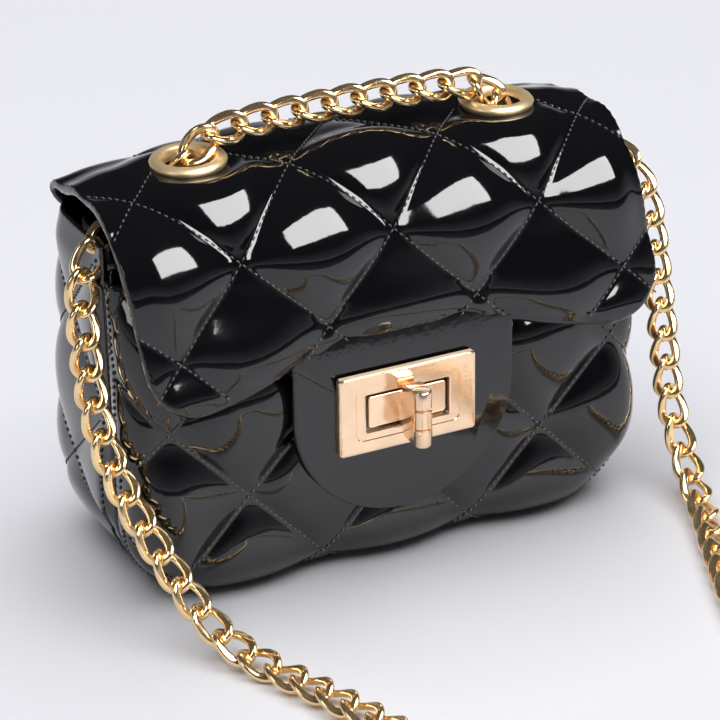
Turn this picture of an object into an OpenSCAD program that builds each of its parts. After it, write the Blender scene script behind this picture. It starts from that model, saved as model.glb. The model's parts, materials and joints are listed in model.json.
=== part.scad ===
// Small quilted crossbody purse with a turn lock and a chain strap.
// Millimetres. +Z is up and the front of the bag faces -Y.
// The origin is the bottom centre of the bag, on the floor.

/* [Body] */
// Width of the two shells
body_w = 154; // [140:1:170]
// Depth of the body over the two shells
body_d = 62; // [58:1:64]
// Depth from the middle to the back wall, at the mouth
mouth_back_y = 24; // [22:0.5:25]
// Height of the front shell's rim, under the flap
front_rim_z = 94; // [90:1:96]
// Height of the back shell's rim, where the flap starts
back_rim_z = 107; // [104:0.5:107.5]
// Thickness of the glossy skin
skin_t = 1.6; // [1.2:0.1:1.8]
// Thickness of the wadding in the body walls
pad_t = 3; // [2:0.25:3.5]
// Thickness of the lining cloth
lining_t = 0.8; // [0.5:0.1:1]

/* [Flap] */
// Height of the flap's top surface
flap_top_z = 116; // [115:0.5:118]
// Height of the flap's front lower edge
flap_edge_z = 66; // [64:1:69]
// Thickness of the flap's wadding
flap_pad_t = 3.8; // [3:0.2:4]
// Slant of the flap's front from upright
flap_slant = 20; // [18:1:20]

/* [Closure] */
// Width of the closure tab
tab_w = 66; // [60:1:76]
// Height of the tab's round lower end
tab_low_z = 18; // [14:1:20]
// Width of the lock frame
frame_w = 41; // [38:0.5:46]
// Height of the lock frame
frame_h = 23.4; // [22:0.2:26]
// Height of the lock's centre
lock_z = 50; // [46:0.5:52]
// Length of the knob's grip bar
grip_len = 17; // [13:0.5:20]

/* [Chain] */
// Diameter of the chain wire
wire_d = 2.2; // [1.8:0.1:2.2]
// Spacing from one link to the next
pitch = 8.8; // [8.7:0.05:8.85]
// Centreline width of a link
link_w = 6.8; // [6.6:0.1:7]
// Distance of each eyelet from the middle of the flap
eyelet_x = 46; // [45:0.5:47]
// Outside diameter of an eyelet's flange
eyelet_d = 21; // [20:0.5:22]

/* [Hidden] */
$fn = 48;
arc_steps = 6;
wire_steps = 24;
gap = 0.1;
big = 400;

patent = "#202024";
wadding = "#d9d4c8";
cloth = "#3a3a40";
gold = "#d9b25f";
rose_gold = "#e6b98f";
steel = "#9a9a9c";
board = "#8a7a60";

// Body form: three outlines that are intersected, all moved in by the same inset.
low_corner_r = 24;
plan_corner_r = 16;
base_edge_r = 14;
taper_z = 60;
crease_front_y = -16;
crease_back_y = -12;
side_rim_z = 102;
pad_in = skin_t + gap;
lining_in = pad_in + pad_t + gap;
room_in = lining_in + lining_t;
strap_notch_y = -8;
strap_notch_w = 24;
strap_notch_z = 93;

// Flap section, in the YZ plane.
flap_t = skin_t + flap_pad_t + lining_t + 2 * gap;
hinge_r = flap_t / 2;
hinge_y = 24;
hinge_z = flap_top_z - hinge_r;
roll_r = 20;
roll_y = -6;
flap_corner_r = 16;
roll_z = flap_top_z - roll_r;
lay_gap = 0.6;

// Each wall's lean above taper_z, in millimetres of depth for one of height. The front wall lies under the flap.
flap_inside_y = roll_y - (roll_r - flap_t) / cos(flap_slant) - (roll_z - front_rim_z) * tan(flap_slant);
front_lean = (flap_inside_y + lay_gap + body_d / 2) / (front_rim_z - taper_z);
back_lean = (body_d / 2 - mouth_back_y) / (back_rim_z - taper_z);

// Closure, front to back along Y.
tab_front_y = -35;
tab_t = 2;
tab_top_z = flap_edge_z + 3.6;
frame_front_y = -38;
window_w = 25;
window_h = 11;
plate_t = 0.9;
spindle_r = 2;
running_fit = 0.05;
spring_t = 0.4;
retainer_t = 0.8;
prong_r = 0.75;
prong_fit = 0.1;
tab_steps = 24;
grip_y = -45;
grip_r = 2.7;

// Chain.
hook_play = 0.3;
hook = wire_d / 2 + hook_play;
link_len = pitch + 2 * hook;
floor_z = link_w / 2 * sin(45) + wire_d / 2 + 0.1;
hang_links = 18;
floor_links = 8;
bore_r = 6.6;
barrel_r = bore_r + 0.9;
barrel_below = 1.2;
washer_t = 0.8;
flange_t = 1.6;

function arc(c, r, a0, a1) =
  [for (i = [0:arc_steps])
    let (a = a0 + (a1 - a0) * i / arc_steps)
    c + r * [cos(a), sin(a)]];
function flip(list) = [for (i = [len(list) - 1:-1:0]) list[i]];
function rounded(w, d, r) = concat(
  arc([w / 2 - r, d / 2 - r], r, 0, 90), arc([r - w / 2, d / 2 - r], r, 90, 180),
  arc([r - w / 2, r - d / 2], r, 180, 270), arc([w / 2 - r, r - d / 2], r, 270, 360));

// Side view of the body: rounded underneath and narrower at the mouth.
function side_outline(inset, top) = concat(
  arc([base_edge_r - body_d / 2, base_edge_r], base_edge_r - inset, 180, 270),
  arc([body_d / 2 - base_edge_r, base_edge_r], base_edge_r - inset, 270, 360),
  [[body_d / 2 - inset, taper_z],
   [body_d / 2 - inset - back_lean * (top - taper_z), top],
   [inset - body_d / 2 + front_lean * (top - taper_z), top],
   [inset - body_d / 2, taper_z]]);
// Front view of the body: round lower corners and straight sides.
function front_outline(inset, top) = concat(
  arc([low_corner_r - body_w / 2, low_corner_r], low_corner_r - inset, 180, 270),
  arc([body_w / 2 - low_corner_r, low_corner_r], low_corner_r - inset, 270, 360),
  [[body_w / 2 - inset, top], [inset - body_w / 2, top]]);

module body_form(inset, top) {
  intersection() {
    rotate([90, 0, 90]) linear_extrude(height = big, center = true) polygon(side_outline(inset, top));
    rotate([90, 0, 0]) linear_extrude(height = big, center = true) polygon(front_outline(inset, top));
    linear_extrude(height = big, center = true)
      polygon(rounded(body_w - 2 * inset, body_d - 2 * inset, plan_corner_r - inset));
  }
}

// A layer of the body wall between two insets, kept between two depths and under a rim.
module wall_layer(outer, inner, y0, y1, rim) {
  difference() {
    body_form(outer, rim + 1);
    body_form(inner, rim + 2);
    translate([-big / 2, -big / 2, rim]) cube([big, big, big]);
    translate([-big / 2, y1, -1]) cube([big, big, big]);
    translate([-big / 2, y0 - big, -1]) cube([big, big, big]);
    // Room for the strap, which passes over each side of the mouth.
    for (side = [-1, 1])
      translate([side * body_w / 2 - 15, strap_notch_y - strap_notch_w / 2, strap_notch_z])
        cube([30, strap_notch_w, big]);
  }
}

module front_shell() {
  color(patent)
    difference() {
      wall_layer(0, skin_t, -big / 2, crease_front_y, front_rim_z);
      spindle_bore(2 * gap);
    }
}

module back_shell() {
  color(patent)
    difference() {
      wall_layer(0, skin_t, crease_back_y, big / 2, back_rim_z);
      // Only the back of this shell rises to the flap.
      translate([-big / 2, hinge_y - 6 - big, side_rim_z]) cube([big, big, big]);
    }
}

// One folded strip joins the shells down one side, under the base and up the other.
module side_gusset() {
  color(patent)
    wall_layer(pad_in, pad_in + skin_t, crease_front_y + gap, crease_back_y - gap, strap_notch_z - 1);
}

module front_pad() {
  color(wadding)
    difference() {
      wall_layer(pad_in, pad_in + pad_t, -big / 2, crease_front_y - gap, front_rim_z - 1);
      spindle_bore(2 * gap);
      lock_backing_room();
    }
}

module back_pad() {
  color(wadding)
    wall_layer(pad_in, pad_in + pad_t, crease_back_y + gap, big / 2, side_rim_z - 1);
}

module lining() {
  color(cloth)
    wall_layer(lining_in, room_in, -big / 2, big / 2, front_rim_z - 2);
}

module base_board() {
  board_t = 1.4;
  board_r = 4;
  color(board)
    translate([0, 0, room_in + gap])
      linear_extrude(height = board_t) polygon(rounded(body_w - 58, body_d - 34, board_r));
}

// Lock, on the front shell.
module spindle_bore(clearance) {
  translate([0, -body_d / 2 - 5, lock_z]) rotate([-90, 0, 0]) cylinder(r = spindle_r + clearance, h = 12);
}

module upright_plate(w, h, t, front_y, r) {
  translate([0, front_y + t, lock_z]) rotate([90, 0, 0]) linear_extrude(height = t) polygon(rounded(w, h, r));
}

module lock_base_plate() {
  color(rose_gold)
    difference() {
      upright_plate(34, 16, plate_t, -body_d / 2 - gap - plate_t, 1.5);
      spindle_bore(running_fit);
    }
}

module lock_backing_room() {
  upright_plate(26.4, 12.4, pad_t + 1, -body_d / 2 + pad_in - gap, 1.5);
}

module lock_backing_plate() {
  color(steel)
    difference() {
      upright_plate(26, 12, plate_t, -body_d / 2 + pad_in, 1.5);
      spindle_bore(running_fit);
    }
}

// Flat spring washer that holds the knob in its two positions.
module detent_spring() {
  spring_y = -body_d / 2 + pad_in + plate_t + gap;
  color(steel)
    difference() {
      upright_plate(12, 7, spring_t, spring_y, 2);
      spindle_bore(running_fit);
    }
}

// The grip bar stands upright when the lock is shut.
module turn_knob() {
  spindle_back = -body_d / 2 + pad_in + plate_t + spring_t + 2 * gap + retainer_t + gap;
  color(rose_gold)
    union() {
      translate([0, grip_y, lock_z]) rotate([-90, 0, 0]) cylinder(r = spindle_r, h = spindle_back - grip_y);
      translate([0, grip_y, lock_z - grip_len / 2]) cylinder(r = grip_r, h = grip_len);
    }
}

module knob_retainer() {
  front_y = -body_d / 2 + pad_in + plate_t + spring_t + 2 * gap;
  color(steel)
    translate([0, front_y, lock_z]) rotate([-90, 0, 0])
      difference() {
        cylinder(r = spindle_r + 1, h = retainer_t);
        translate([0, 0, -1]) cylinder(r = spindle_r, h = 3);
      }
}

// Flap: a level top, a rolled front edge and a slanted front, as one path moved in by an inset.
function flap_path(inset) =
  let (c = [roll_y, flap_top_z - roll_r],
       r = roll_r - inset,
       last = 180 - flap_slant,
       roll_end = c + r * [cos(last), sin(last)],
       edge_y = c[0] + roll_r * cos(last) - (c[1] + roll_r * sin(last) - flap_edge_z) * tan(flap_slant),
       edge = [edge_y + inset * cos(flap_slant), flap_edge_z - inset * sin(flap_slant)])
  concat([[hinge_y, flap_top_z - inset]], arc(c, r, 90, last), [edge]);

module flap_layer(outer, inner, back_y) {
  intersection() {
    rotate([90, 0, 90])
      linear_extrude(height = body_w, center = true)
        polygon(concat(flap_path(outer), flip(flap_path(inner))));
    rotate([90, 0, 0])
      linear_extrude(height = big, center = true)
        polygon(concat(
          arc([flap_corner_r - body_w / 2, flap_edge_z + flap_corner_r], flap_corner_r, 180, 270),
          arc([body_w / 2 - flap_corner_r, flap_edge_z + flap_corner_r], flap_corner_r, 270, 360),
          [[body_w / 2, big], [-body_w / 2, big]]));
    translate([-big / 2, back_y - big, 0]) cube([big, big, big]);
  }
}

module eyelet_holes(r) {
  for (side = [-1, 1])
    translate([side * eyelet_x, 0, flap_top_z - 20]) cylinder(r = r, h = 40);
}

// The skin turns round its own back edge, which is rolled about the hinge line.
module flap_shell() {
  color(patent)
    difference() {
      union() {
        flap_layer(0, skin_t, hinge_y);
        translate([-body_w / 2 + 3, hinge_y, hinge_z]) rotate([0, 90, 0]) cylinder(r = hinge_r, h = body_w - 6);
      }
      eyelet_holes(barrel_r + gap);
    }
}

module flap_pad() {
  color(wadding)
    difference() {
      flap_layer(skin_t + gap, skin_t + gap + flap_pad_t, hinge_y - hinge_r - 1);
      eyelet_holes(barrel_r + gap);
      tab_blank(gap, tab_t + 4 * gap);
    }
}

module flap_lining() {
  color(cloth)
    difference() {
      flap_layer(flap_t - lining_t, flap_t, hinge_y - hinge_r - 1);
      eyelet_holes(barrel_r + gap);
      tab_blank(gap, 20);
    }
}

// Closure tab: straight sides and a half-round lower end.
module tab_blank(grow, t) {
  half = tab_w / 2 + grow;
  translate([0, tab_front_y + t - 2 * grow, 0])
    rotate([90, 0, 0])
      linear_extrude(height = t)
        polygon(concat(
          [for (i = [0:tab_steps])
            let (a = 180 * (1 + i / tab_steps))
            [half * cos(a), tab_low_z + tab_w / 2 + half * sin(a)]],
          [[half, tab_top_z + 2 * grow], [-half, tab_top_z + 2 * grow]]));
}

module closure_tab() {
  color(patent)
    difference() {
      tab_blank(0, tab_t);
      upright_plate(window_w + 2, window_h + 2, 10, tab_front_y - 4, 1);
      prong_holes();
    }
}

// The four corner prongs that hold the frame to its backing.
module prong_set(r, start_y, length) {
  for (sx = [-1, 1])
    for (sz = [-1, 1])
      translate([sx * (frame_w / 2 - 3), start_y, lock_z + sz * (frame_h / 2 - 2.6)])
        rotate([-90, 0, 0]) cylinder(r = r, h = length);
}

module prong_holes() {
  prong_set(prong_r + prong_fit, tab_front_y - 1.5, 6);
}

module lock_frame() {
  rim = 2.4;
  color(rose_gold)
    difference() {
      upright_plate(frame_w, frame_h, tab_front_y - gap - frame_front_y, frame_front_y, 1.2);
      upright_plate(window_w, window_h, 20, frame_front_y - 10, 0.8);
      // Step round the window.
      upright_plate(window_w + 2 * rim, window_h + 2 * rim, 10, frame_front_y - 9, 1);
      prong_holes();
    }
}

module lock_frame_back() {
  color(steel)
    difference() {
      upright_plate(frame_w - 2, frame_h - 2, plate_t - 0.1, tab_front_y + tab_t + gap, 1.2);
      upright_plate(window_w, window_h, 20, frame_front_y - 10, 0.8);
      prong_holes();
    }
}

module lock_frame_prongs() {
  color(steel) prong_set(prong_r, tab_front_y - 1.4, tab_t + 1.4 + plate_t);
}

// Eyelets: a rounded flange with a barrel through the flap, and a washer under it.
module eyelet(side) {
  tube_r = flange_t / 2;
  color(gold)
    translate([side * eyelet_x, 0, flap_top_z + gap])
      union() {
        difference() {
          cylinder(r = eyelet_d / 2 - tube_r, h = flange_t);
          translate([0, 0, -1]) cylinder(r = bore_r, h = flange_t + 2);
        }
        translate([0, 0, tube_r])
          rotate_extrude() translate([eyelet_d / 2 - tube_r, 0]) circle(r = tube_r, $fn = wire_steps);
        translate([0, 0, -flap_t - barrel_below])
          difference() {
            cylinder(r = barrel_r, h = flap_t + barrel_below + flange_t / 2);
            translate([0, 0, -1]) cylinder(r = bore_r, h = flap_t + 6);
          }
      }
}

module eyelet_washer(side) {
  color(gold)
    translate([side * eyelet_x, 0, flap_top_z - flap_t - gap - barrel_below + 0.2])
      difference() {
        cylinder(r = eyelet_d / 2 - 2.5, h = washer_t);
        translate([0, 0, -1]) cylinder(r = barrel_r + running_fit, h = 3);
      }
}

// One link: two half rings and two straight wires, along X.
module link() {
  r = link_w / 2;
  straight = link_len / 2 - r;
  union() {
    for (side = [0, 180])
      rotate([0, 0, side])
        translate([straight, 0, 0])
          rotate([0, 0, -90])
            rotate_extrude(angle = 180) translate([r, 0]) circle(d = wire_d, $fn = wire_steps);
    for (y = [-r, r])
      translate([-straight, y, 0])
        rotate([0, 90, 0]) cylinder(d = wire_d, h = 2 * straight, $fn = wire_steps);
  }
}

// A direction from a heading in plan and a rise above level, both in degrees.
function toward(heading, rise) = [cos(rise) * cos(heading), cos(rise) * sin(heading), sin(rise)];
// Hook points of a run whose heading and rise change with the link's number.
function walk(start, count, headings, rises) =
  [for (i = 0, p = start; i <= count; p = p + pitch * toward(lookup(i, headings), lookup(i, rises)), i = i + 1) p];

// A run raised or lowered so that it ends lying on the floor.
function to_floor(points) =
  let (lift = floor_z - points[len(points) - 1][2])
  [for (p = points) p + [0, 0, lift]];

// Links first to last of a run, each turned a quarter from the one before.
module run(points, first, last) {
  color(gold)
    for (i = [first:last]) {
      d = points[i + 1] - points[i];
      translate((points[i] + points[i + 1]) / 2)
        rotate([0, -atan2(d[2], norm([d[0], d[1]])), atan2(d[1], d[0])])
          rotate([i % 2 == 0 ? 45 : -45, 0, 0])
            link();
    }
}

// The run over the flap, from its middle to the right; the left half mirrors it.
bridge_half = 4;
crest_z = flap_top_z + 8.8;
crest_rises = [[0, 0], [1, -1], [2, -1], [3, -3], [4, -7], [5, -40], [6, -73]];
crest = walk([-pitch / 2, 0, crest_z], 7, [[0, 0]], crest_rises);

module crest_run(first, last) {
  run(crest, first, last);
}

module chain_bridge() {
  crest_run(0, bridge_half);
  mirror([1, 0, 0]) crest_run(1, bridge_half);
}

module dive_links() {
  crest_run(bridge_half + 1, bridge_half + 2);
}

// The strap at each side: over the mouth, down the side, along the floor to the middle of the loop.
left_start = [-51, -1];
left_headings = [[0, 186], [1, 192], [2, 204], [3, 215], [5, 262], [7, 282], [9, 288], [12, 296],
  [16, 298], [18, 294], [21, 290], [27, 278], [33, 268], [42, 350]];
left_rises = [[0, 4], [1, -4], [2, -22], [3, -41], [4, -60], [5, -77], [6, -84], [7, -79], [9, -62],
  [11, -50], [14, -44], [15, -34], [16, -20], [17, -6], [18, 0]];
right_start = [53, -1];
right_headings = [[0, -6], [1, -14], [2, -32], [3, -45], [4, -48], [5, -42], [8, -54],
  [11, -74], [14, -102], [17, -112], [20, -112], [27, -101], [36, -96], [42, -172]];
right_rises = [[0, 4], [1, -4], [2, -22], [3, -41], [4, -60], [5, -77], [6, -82], [10, -82],
  [11, -79], [12, -68], [13, -52], [14, -35], [15, -18], [16, -5], [17, 0]];
strap_links = hang_links + 3 * floor_links;
left_strap = to_floor(walk([left_start[0], left_start[1], 0], strap_links, left_headings, left_rises));
right_strap = to_floor(walk([right_start[0], right_start[1], 0], strap_links, right_headings, right_rises));

module strap_part(points, number) {
  first = number == 0 ? 2 : hang_links + (number - 1) * floor_links;
  last = number == 0 ? hang_links - 1 : first + floor_links - 1;
  run(points, first, last);
}

front_shell();
back_shell();
side_gusset();
front_pad();
back_pad();
lining();
base_board();
lock_base_plate();
lock_backing_plate();
detent_spring();
turn_knob();
knob_retainer();
flap_shell();
flap_pad();
flap_lining();
closure_tab();
lock_frame();
lock_frame_back();
lock_frame_prongs();
eyelet(-1);  // eyelet_left
eyelet(1);  // eyelet_right
eyelet_washer(-1);  // eyelet_washer_left
eyelet_washer(1);  // eyelet_washer_right
mirror([1, 0, 0]) dive_links();  // dive_links_left
dive_links();  // dive_links_right
chain_bridge();
run(left_strap, 0, 1);  // strap_left_entry
run(right_strap, 0, 1);  // strap_right_entry
strap_part(left_strap, 0);  // strap_left_hang
strap_part(left_strap, 1);  // strap_left_floor_1
strap_part(left_strap, 2);  // strap_left_floor_2
strap_part(left_strap, 3);  // strap_left_floor_3
strap_part(right_strap, 0);  // strap_right_hang
strap_part(right_strap, 1);  // strap_right_floor_1
strap_part(right_strap, 2);  // strap_right_floor_2
strap_part(right_strap, 3);  // strap_right_floor_3
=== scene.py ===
"""Looks for the quilted crossbody purse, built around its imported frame.

Lengths are in millimetres until a mesh is made.
"""

import json
import math

import bmesh
import bpy
import numpy as np
from mathutils import Matrix, Vector


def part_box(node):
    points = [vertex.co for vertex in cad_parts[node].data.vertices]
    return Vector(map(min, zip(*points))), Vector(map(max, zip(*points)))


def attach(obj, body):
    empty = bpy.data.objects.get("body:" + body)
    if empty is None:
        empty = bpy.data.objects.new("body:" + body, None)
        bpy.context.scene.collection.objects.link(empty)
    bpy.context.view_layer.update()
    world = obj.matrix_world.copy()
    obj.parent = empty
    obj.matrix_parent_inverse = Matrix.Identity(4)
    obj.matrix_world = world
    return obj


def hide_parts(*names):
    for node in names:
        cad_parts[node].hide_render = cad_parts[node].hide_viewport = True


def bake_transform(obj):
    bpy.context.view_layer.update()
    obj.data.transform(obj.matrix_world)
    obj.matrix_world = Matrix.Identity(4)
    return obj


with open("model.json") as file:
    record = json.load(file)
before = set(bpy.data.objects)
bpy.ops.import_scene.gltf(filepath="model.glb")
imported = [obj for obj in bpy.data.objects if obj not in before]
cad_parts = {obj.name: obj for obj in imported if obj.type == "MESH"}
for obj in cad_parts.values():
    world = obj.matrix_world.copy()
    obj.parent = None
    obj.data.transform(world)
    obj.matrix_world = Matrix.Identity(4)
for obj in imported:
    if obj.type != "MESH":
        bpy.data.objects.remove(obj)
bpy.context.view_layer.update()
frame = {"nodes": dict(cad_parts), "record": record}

MM = 0.001


def box_mm(node):
    low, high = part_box(node)
    return np.array(low) / MM, np.array(high) / MM


# ---------------------------------------------------------------- driving sizes

FRONT_LOW, FRONT_HIGH = box_mm("front_shell")
BACK_LOW, BACK_HIGH = box_mm("back_shell")
FLAP_LOW, FLAP_HIGH = box_mm("flap_shell")
TAB_LOW, TAB_HIGH = box_mm("closure_tab")
PLATE_LOW, PLATE_HIGH = box_mm("lock_frame")
BASE_PLATE_HIGH = box_mm("lock_base_plate")[1]
KNOB_LOW, KNOB_HIGH = box_mm("turn_knob")
EYELET_LOW, EYELET_HIGH = box_mm("eyelet_left")
LINING_LOW, LINING_HIGH = box_mm("lining")
WASHER_LOW, WASHER_HIGH = box_mm("eyelet_washer_left")

HALF_W = BACK_HIGH[0]                 # half the body's width
FACE_FRONT = FRONT_LOW[1]             # the front wall's outer face
FACE_BACK = BACK_HIGH[1]              # the back wall's outer face
RIM_FRONT = FRONT_HIGH[2]
RIM_BACK = BACK_HIGH[2]
CREASE_FRONT = FRONT_HIGH[1]          # where the front shell ends and the gusset starts
CREASE_BACK = BACK_LOW[1]
FLAP_TOP = FLAP_HIGH[2]
FLAP_EDGE = FLAP_LOW[2]
EYELET_X = -(EYELET_LOW[0] + EYELET_HIGH[0]) / 2
EYELET_R = (EYELET_HIGH[0] - EYELET_LOW[0]) / 2

DIAMOND_W = 44.5                      # quilting diamond, side to side
DIAMOND_HALF_H = 23.4                 # from one row of crossings to the next
TAPER_Z = 60.0                        # above this the walls lean in towards the mouth
LOW_CORNER_R = 24.0                   # the body's lower corners, seen from the front
SINK = 1.2                            # seams sit this far under the CAD face
PUFF_BODY = 5.6
PUFF_FLAP = 5.0
SIDE_RIM = RIM_BACK - 4               # the back wall's rim where it comes round the sides
GUSSET_TOP = 98.0
LINING_RIM = RIM_FRONT - 1.2          # the lining's rim along the front wall
LINING_FLOOR = LINING_LOW[2] + 3.2


STITCH_PITCH, STITCH_LENGTH, STITCH_WIDTH, STITCH_LIFT = 2.0, 1.35, 0.54, 0.24


# ---------------------------------------------------------------- helpers

def smooth(x, low, high):
    t = np.clip((np.asarray(x, float) - low) / (high - low), 0, 1)
    return t * t * (3 - 2 * t)


def new_object(name, verts, faces, material, smooth_faces=True):
    """A mesh object from points in millimetres."""
    mesh = bpy.data.meshes.new(name)
    mesh.from_pydata((np.asarray(verts, float) * MM).tolist(), [], [list(map(int, f)) for f in faces])
    mesh.validate()
    mesh.update()
    ob = bpy.data.objects.new(name, mesh)
    bpy.context.scene.collection.objects.link(ob)
    if smooth_faces:
        mesh.polygons.foreach_set("use_smooth", [True] * len(mesh.polygons))
    if material is not None:
        mesh.materials.append(material)
    return ob


def apply_modifiers(ob):
    depsgraph = bpy.context.evaluated_depsgraph_get()
    mesh = bpy.data.meshes.new_from_object(ob.evaluated_get(depsgraph))
    ob.modifiers.clear()
    old = ob.data
    ob.data = mesh
    bpy.data.meshes.remove(old)
    return ob


def crease_seams(ob, count, a, b):
    """Keeps the seams among the first vertices sharp under subdivision. a and b are their seam numbers."""
    pairs = np.empty(len(ob.data.edges) * 2, int)
    ob.data.edges.foreach_get("vertices", pairs)
    pairs = pairs.reshape(-1, 2)
    sharp = np.zeros(len(pairs))
    outer = (pairs < count).all(1)
    for line in (a, b):
        near = np.abs(line - np.round(line)) < 0.004
        p, q = pairs[outer].T
        on_seam = near[p] & near[q] & (np.round(line[p]) == np.round(line[q]))
        sharp[outer] = np.maximum(sharp[outer], on_seam * 0.85)
    ob.data.attributes.new("crease_edge", "FLOAT", "EDGE").data.foreach_set("value", sharp)


def face_outward(ob):
    bm = bmesh.new()
    bm.from_mesh(ob.data)
    bmesh.ops.recalc_face_normals(bm, faces=bm.faces)
    bm.to_mesh(ob.data)
    bm.free()


def subdivide(ob, levels=1):
    m = ob.modifiers.new("subdivide", "SUBSURF")
    m.levels = levels
    m.render_levels = levels
    m.boundary_smooth = "PRESERVE_CORNERS"
    return apply_modifiers(ob)


# ---------------------------------------------------------------- materials

def node_material(name):
    mat = bpy.data.materials.new(name)
    mat.use_nodes = True
    nodes, links = mat.node_tree.nodes, mat.node_tree.links
    nodes.clear()
    out = nodes.new("ShaderNodeOutputMaterial")
    bsdf = nodes.new("ShaderNodeBsdfPrincipled")
    links.new(bsdf.outputs["BSDF"], out.inputs["Surface"])
    return mat, nodes, links, bsdf


def object_noise(nodes, links, scale, detail=2.0):
    coords = nodes.new("ShaderNodeTexCoord")
    tex = nodes.new("ShaderNodeTexNoise")
    tex.inputs["Scale"].default_value = scale
    tex.inputs["Detail"].default_value = detail
    links.new(coords.outputs["Object"], tex.inputs["Vector"])
    return tex


def ramp(nodes, links, source, low, high):
    """The source's 0 to 1 mapped to low to high."""
    m = nodes.new("ShaderNodeMapRange")
    m.inputs["From Min"].default_value = 0.3
    m.inputs["From Max"].default_value = 0.7
    m.inputs["To Min"].default_value = low
    m.inputs["To Max"].default_value = high
    links.new(source, m.inputs["Value"])
    return m.outputs["Result"]


def add_bump(nodes, links, bsdf, height, strength, distance):
    bump = nodes.new("ShaderNodeBump")
    bump.inputs["Strength"].default_value = strength
    bump.inputs["Distance"].default_value = distance
    links.new(height, bump.inputs["Height"])
    links.new(bump.outputs["Normal"], bsdf.inputs["Normal"])
    return bump


def patent(name="patent_pvc", tone=(0.006, 0.006, 0.0075), rough=0.05):
    """Black high-gloss PVC: a faint uneven gloss and a slight orange peel."""
    mat, nodes, links, bsdf = node_material(name)
    bsdf.inputs["Base Color"].default_value = (*tone, 1)
    bsdf.inputs["IOR"].default_value = 1.48
    bsdf.inputs["Coat Weight"].default_value = 0.25
    bsdf.inputs["Coat Roughness"].default_value = 0.02
    wide = object_noise(nodes, links, 45, 3)
    links.new(ramp(nodes, links, wide.outputs["Fac"], rough, rough + 0.05), bsdf.inputs["Roughness"])
    peel = object_noise(nodes, links, 260, 2)
    add_bump(nodes, links, bsdf, peel.outputs["Fac"], 0.10, 0.0004)
    return mat


def gold_metal(name, tone, rough, metallic=1.0):
    """Bright plating: fine polishing marks, slight tone variation."""
    mat, nodes, links, bsdf = node_material(name)
    bsdf.inputs["Metallic"].default_value = metallic
    wide = object_noise(nodes, links, 140, 4)
    mix = nodes.new("ShaderNodeMix")
    mix.data_type = "RGBA"
    mix.inputs[6].default_value = (*tone, 1)
    mix.inputs[7].default_value = (*[c * 0.86 for c in tone], 1)
    links.new(ramp(nodes, links, wide.outputs["Fac"], 0.0, 1.0), mix.inputs[0])
    links.new(mix.outputs[2], bsdf.inputs["Base Color"])
    links.new(ramp(nodes, links, wide.outputs["Fac"], rough, rough + 0.07), bsdf.inputs["Roughness"])
    fine = object_noise(nodes, links, 1800, 2)
    add_bump(nodes, links, bsdf, fine.outputs["Fac"], 0.04, 0.0002)
    return mat


def cloth_material(name, tone, scale=1500):
    """Plain woven lining: crossed waves as warp and weft."""
    mat, nodes, links, bsdf = node_material(name)
    bsdf.inputs["Roughness"].default_value = 0.75
    coords = nodes.new("ShaderNodeTexCoord")
    waves = []
    for direction in ("X", "Z"):
        wave = nodes.new("ShaderNodeTexWave")
        wave.bands_direction = direction
        wave.inputs["Scale"].default_value = scale / 4
        wave.inputs["Distortion"].default_value = 0.6
        links.new(coords.outputs["Object"], wave.inputs["Vector"])
        waves.append(wave)
    both = nodes.new("ShaderNodeMath")
    both.operation = "MAXIMUM"
    links.new(waves[0].outputs["Fac"], both.inputs[0])
    links.new(waves[1].outputs["Fac"], both.inputs[1])
    mix = nodes.new("ShaderNodeMix")
    mix.data_type = "RGBA"
    mix.inputs[6].default_value = (*[c * 0.55 for c in tone], 1)
    mix.inputs[7].default_value = (*tone, 1)
    links.new(both.outputs[0], mix.inputs[0])
    links.new(mix.outputs[2], bsdf.inputs["Base Color"])
    bsdf.inputs["Sheen Weight"].default_value = 0.3
    add_bump(nodes, links, bsdf, both.outputs[0], 0.35, 0.0003)
    return mat


PATENT = patent()
THREAD = patent("thread", (0.055, 0.055, 0.06), 0.45)
GOLD = gold_metal("gold", (0.95, 0.69, 0.38), 0.12, 0.9)
EYELET_GOLD = gold_metal("eyelet_gold", (0.98, 0.74, 0.42), 0.34, 0.7)
PINK_GOLD = gold_metal("pink_gold", (0.99, 0.72, 0.50), 0.10, 0.85)
STEEL = gold_metal("steel", (0.55, 0.55, 0.57), 0.28)
LINING = cloth_material("lining_cloth", (0.055, 0.055, 0.065))
BOARD = cloth_material("board", (0.10, 0.09, 0.08), 900)


# ---------------------------------------------------------------- quilted sheets

def quilt_ab(u, v):
    """Seam numbers at a place on the sheet: a seam runs where either one is whole."""
    return u / DIAMOND_W + v / (2 * DIAMOND_HALF_H), u / DIAMOND_W - v / (2 * DIAMOND_HALF_H)


def quilt_uv(a, b):
    return (a + b) * DIAMOND_W / 2, (a - b) * DIAMOND_HALF_H


def puff(u, v, height):
    """Pillow height over the seams: steep at a seam, broad on top, pinched at a crossing."""
    a, b = quilt_ab(u, v)
    sa = np.abs(np.sin(np.pi * a))
    sb = np.abs(np.sin(np.pi * b))
    both = sa * sb
    return height * both ** 0.85 * (1.35 - 0.35 * both)


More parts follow.
